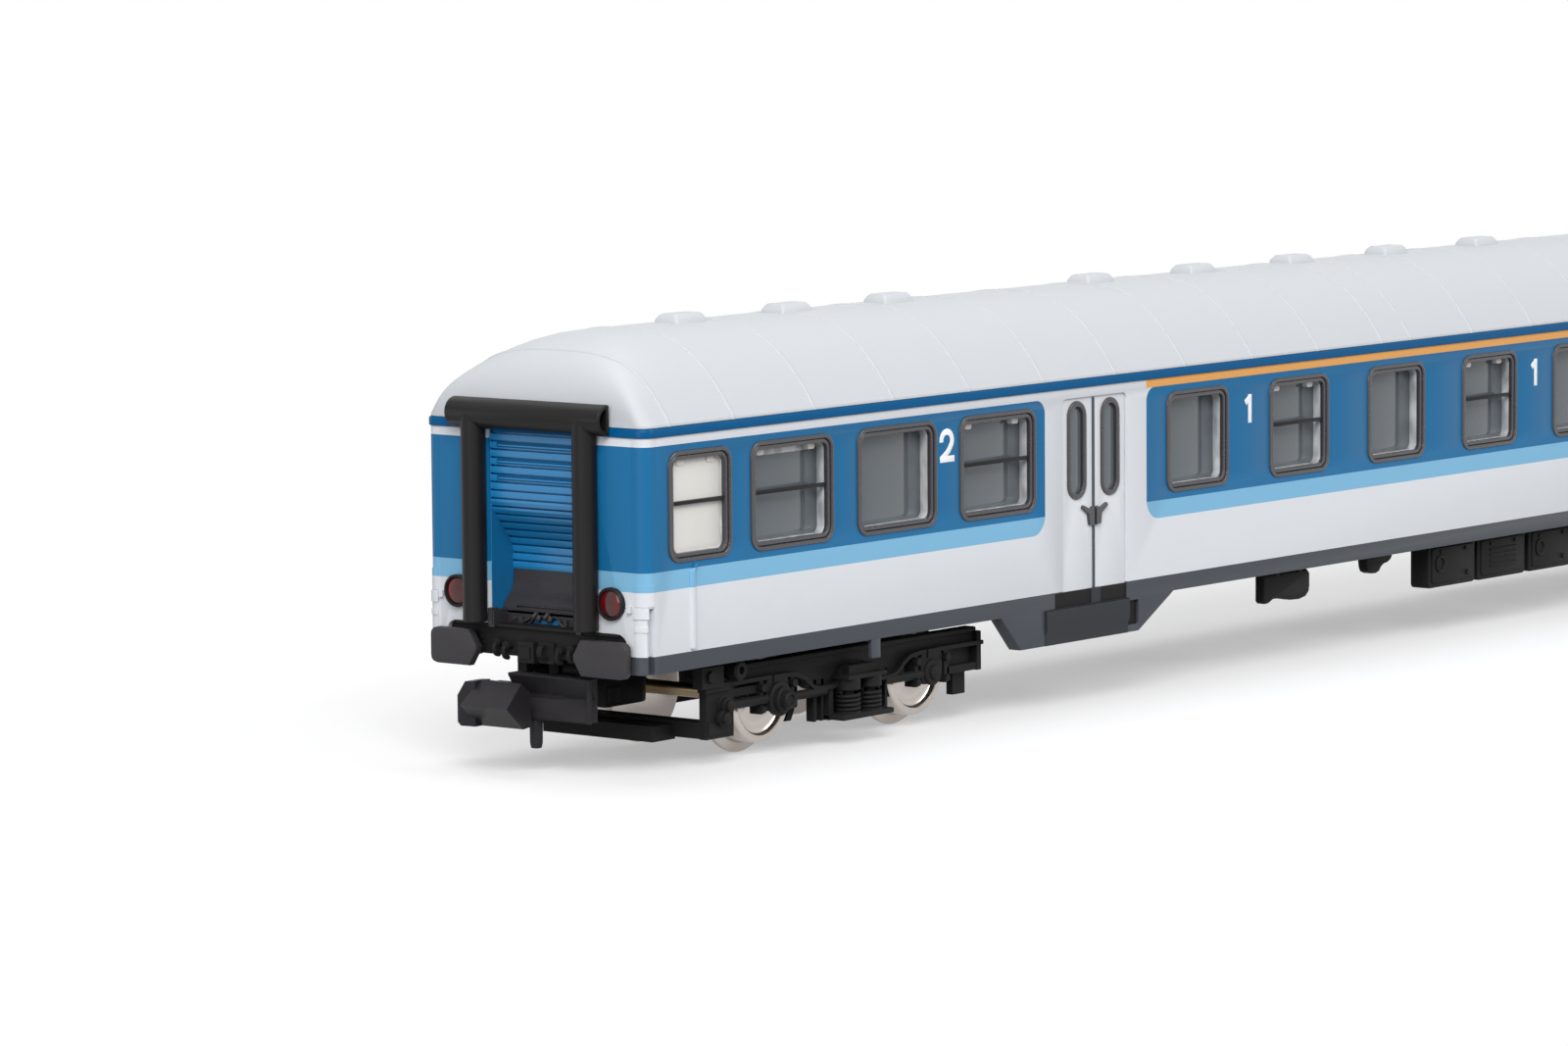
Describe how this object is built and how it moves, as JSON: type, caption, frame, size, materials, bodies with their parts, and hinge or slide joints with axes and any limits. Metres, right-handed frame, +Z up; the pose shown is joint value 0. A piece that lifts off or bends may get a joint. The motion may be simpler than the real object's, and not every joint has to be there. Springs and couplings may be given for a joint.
{
  "type": "model passenger coach",
  "caption": "Railway model coach with domed roof, glazed sides, mid-body double doors, gangway ends, swivelling bogies with turning wheelsets, and spring-centred hook couplers.",
  "frame": {"origin": "middle of the coach, on the plane of the flange bottoms (0.7 mm below the rail tops)", "axes": "+X along the coach from its front to its rear end, +Y across to its right, +Z up"},
  "size_m": [0.169, 0.0178, 0.0275],
  "materials": {
    "body_blue": "satin, printed in blue and light grey",
    "roof_grey": "satin light grey",
    "clear_glazing": "clear, with printed dark frames",
    "seat_grey": "as moulded",
    "steel": "plain",
    "black_plastic": "as moulded, fine grain",
    "lamp_red": "clear red",
    "axle_brass": "plain",
    "nickel": "bright nickel plate"
  },
  "bodies": {
    "coach_body": {"body_shell": "body_blue", "roof": "roof_grey", "glazing_left": "clear_glazing", "glazing_right": "clear_glazing", "seat_unit": "seat_grey", "ballast_plate": "steel", "underframe": "black_plastic", "equipment_row_front": "black_plastic", "water_tank_front": "black_plastic", "gangway_rubber_front": "black_plastic", "gangway_shutter_front": "body_blue", "bridge_plate_front": "black_plastic", "headstock_front": "black_plastic", "bogie_screw_front": "steel", "coupling_screw_front": "steel", "centring_spring_front": "steel", "buffer_front_left": "black_plastic", "tail_lamp_front_left": "lamp_red", "buffer_front_right": "black_plastic", "tail_lamp_front_right": "lamp_red", "equipment_row_rear": "black_plastic", "water_tank_rear": "black_plastic", "gangway_rubber_rear": "black_plastic", "gangway_shutter_rear": "body_blue", "bridge_plate_rear": "black_plastic", "headstock_rear": "black_plastic", "bogie_screw_rear": "steel", "coupling_screw_rear": "steel", "centring_spring_rear": "steel", "buffer_rear_left": "black_plastic", "tail_lamp_rear_left": "lamp_red", "buffer_rear_right": "black_plastic", "tail_lamp_rear_right": "lamp_red"},
    "bogie_front": {"bogie_frame_front": "black_plastic"},
    "coupling_front": {"drawbar_front": "black_plastic", "coupler_pin_front": "steel"},
    "coupler_front": {"coupler_head_front": "black_plastic"},
    "wheelset_front_outer": {"axle_front_outer": "axle_brass", "wheel_front_outer_left": "nickel", "wheel_front_outer_right": "nickel"},
    "wheelset_front_inner": {"axle_front_inner": "axle_brass", "wheel_front_inner_left": "nickel", "wheel_front_inner_right": "nickel"},
    "bogie_rear": {"bogie_frame_rear": "black_plastic"},
    "coupling_rear": {"drawbar_rear": "black_plastic", "coupler_pin_rear": "steel"},
    "coupler_rear": {"coupler_head_rear": "black_plastic"},
    "wheelset_rear_outer": {"axle_rear_outer": "axle_brass", "wheel_rear_outer_left": "nickel", "wheel_rear_outer_right": "nickel"},
    "wheelset_rear_inner": {"axle_rear_inner": "axle_brass", "wheel_rear_inner_left": "nickel", "wheel_rear_inner_right": "nickel"}
  },
  "joints": [
    {"name": "bogie_swivel_front", "type": "hinge", "parent": "coach_body", "child": "bogie_front", "pos_m": [-0.0592, 0, 0.00615], "axis": [0, 0, 1], "range_deg": [-18, 18]},
    {"name": "wheel_spin_front_outer", "type": "hinge", "parent": "bogie_front", "child": "wheelset_front_outer", "pos_m": [-0.06705, 0, 0.00362], "axis": [0, 1, 0], "continuous": true},
    {"name": "wheel_spin_front_inner", "type": "hinge", "parent": "bogie_front", "child": "wheelset_front_inner", "pos_m": [-0.05135, 0, 0.00362], "axis": [0, 1, 0], "continuous": true},
    {"name": "coupling_swing_front", "type": "hinge", "parent": "coach_body", "child": "coupling_front", "pos_m": [-0.0736, 0, 0.00545], "axis": [0, 0, 1], "range_deg": [-20, 20], "stiffness_Nm_per_rad": 0.0001, "deforming": ["centring_spring_front"]},
    {"name": "coupler_lift_front", "type": "hinge", "parent": "coupling_front", "child": "coupler_front", "pos_m": [-0.0778, 0, 0.006], "axis": [0, 1, 0], "range_deg": [0, 7]},
    {"name": "bogie_swivel_rear", "type": "hinge", "parent": "coach_body", "child": "bogie_rear", "pos_m": [0.0592, 0, 0.00615], "axis": [0, 0, 1], "range_deg": [-18, 18]},
    {"name": "wheel_spin_rear_outer", "type": "hinge", "parent": "bogie_rear", "child": "wheelset_rear_outer", "pos_m": [0.06705, 0, 0.00362], "axis": [0, 1, 0], "continuous": true},
    {"name": "wheel_spin_rear_inner", "type": "hinge", "parent": "bogie_rear", "child": "wheelset_rear_inner", "pos_m": [0.05135, 0, 0.00362], "axis": [0, 1, 0], "continuous": true},
    {"name": "coupling_swing_rear", "type": "hinge", "parent": "coach_body", "child": "coupling_rear", "pos_m": [0.0736, 0, 0.00545], "axis": [0, 0, 1], "range_deg": [-20, 20], "stiffness_Nm_per_rad": 0.0001, "deforming": ["centring_spring_rear"]},
    {"name": "coupler_lift_rear", "type": "hinge", "parent": "coupling_rear", "child": "coupler_rear", "pos_m": [0.0778, 0, 0.006], "axis": [0, -1, 0], "range_deg": [0, 7]}
  ]
}
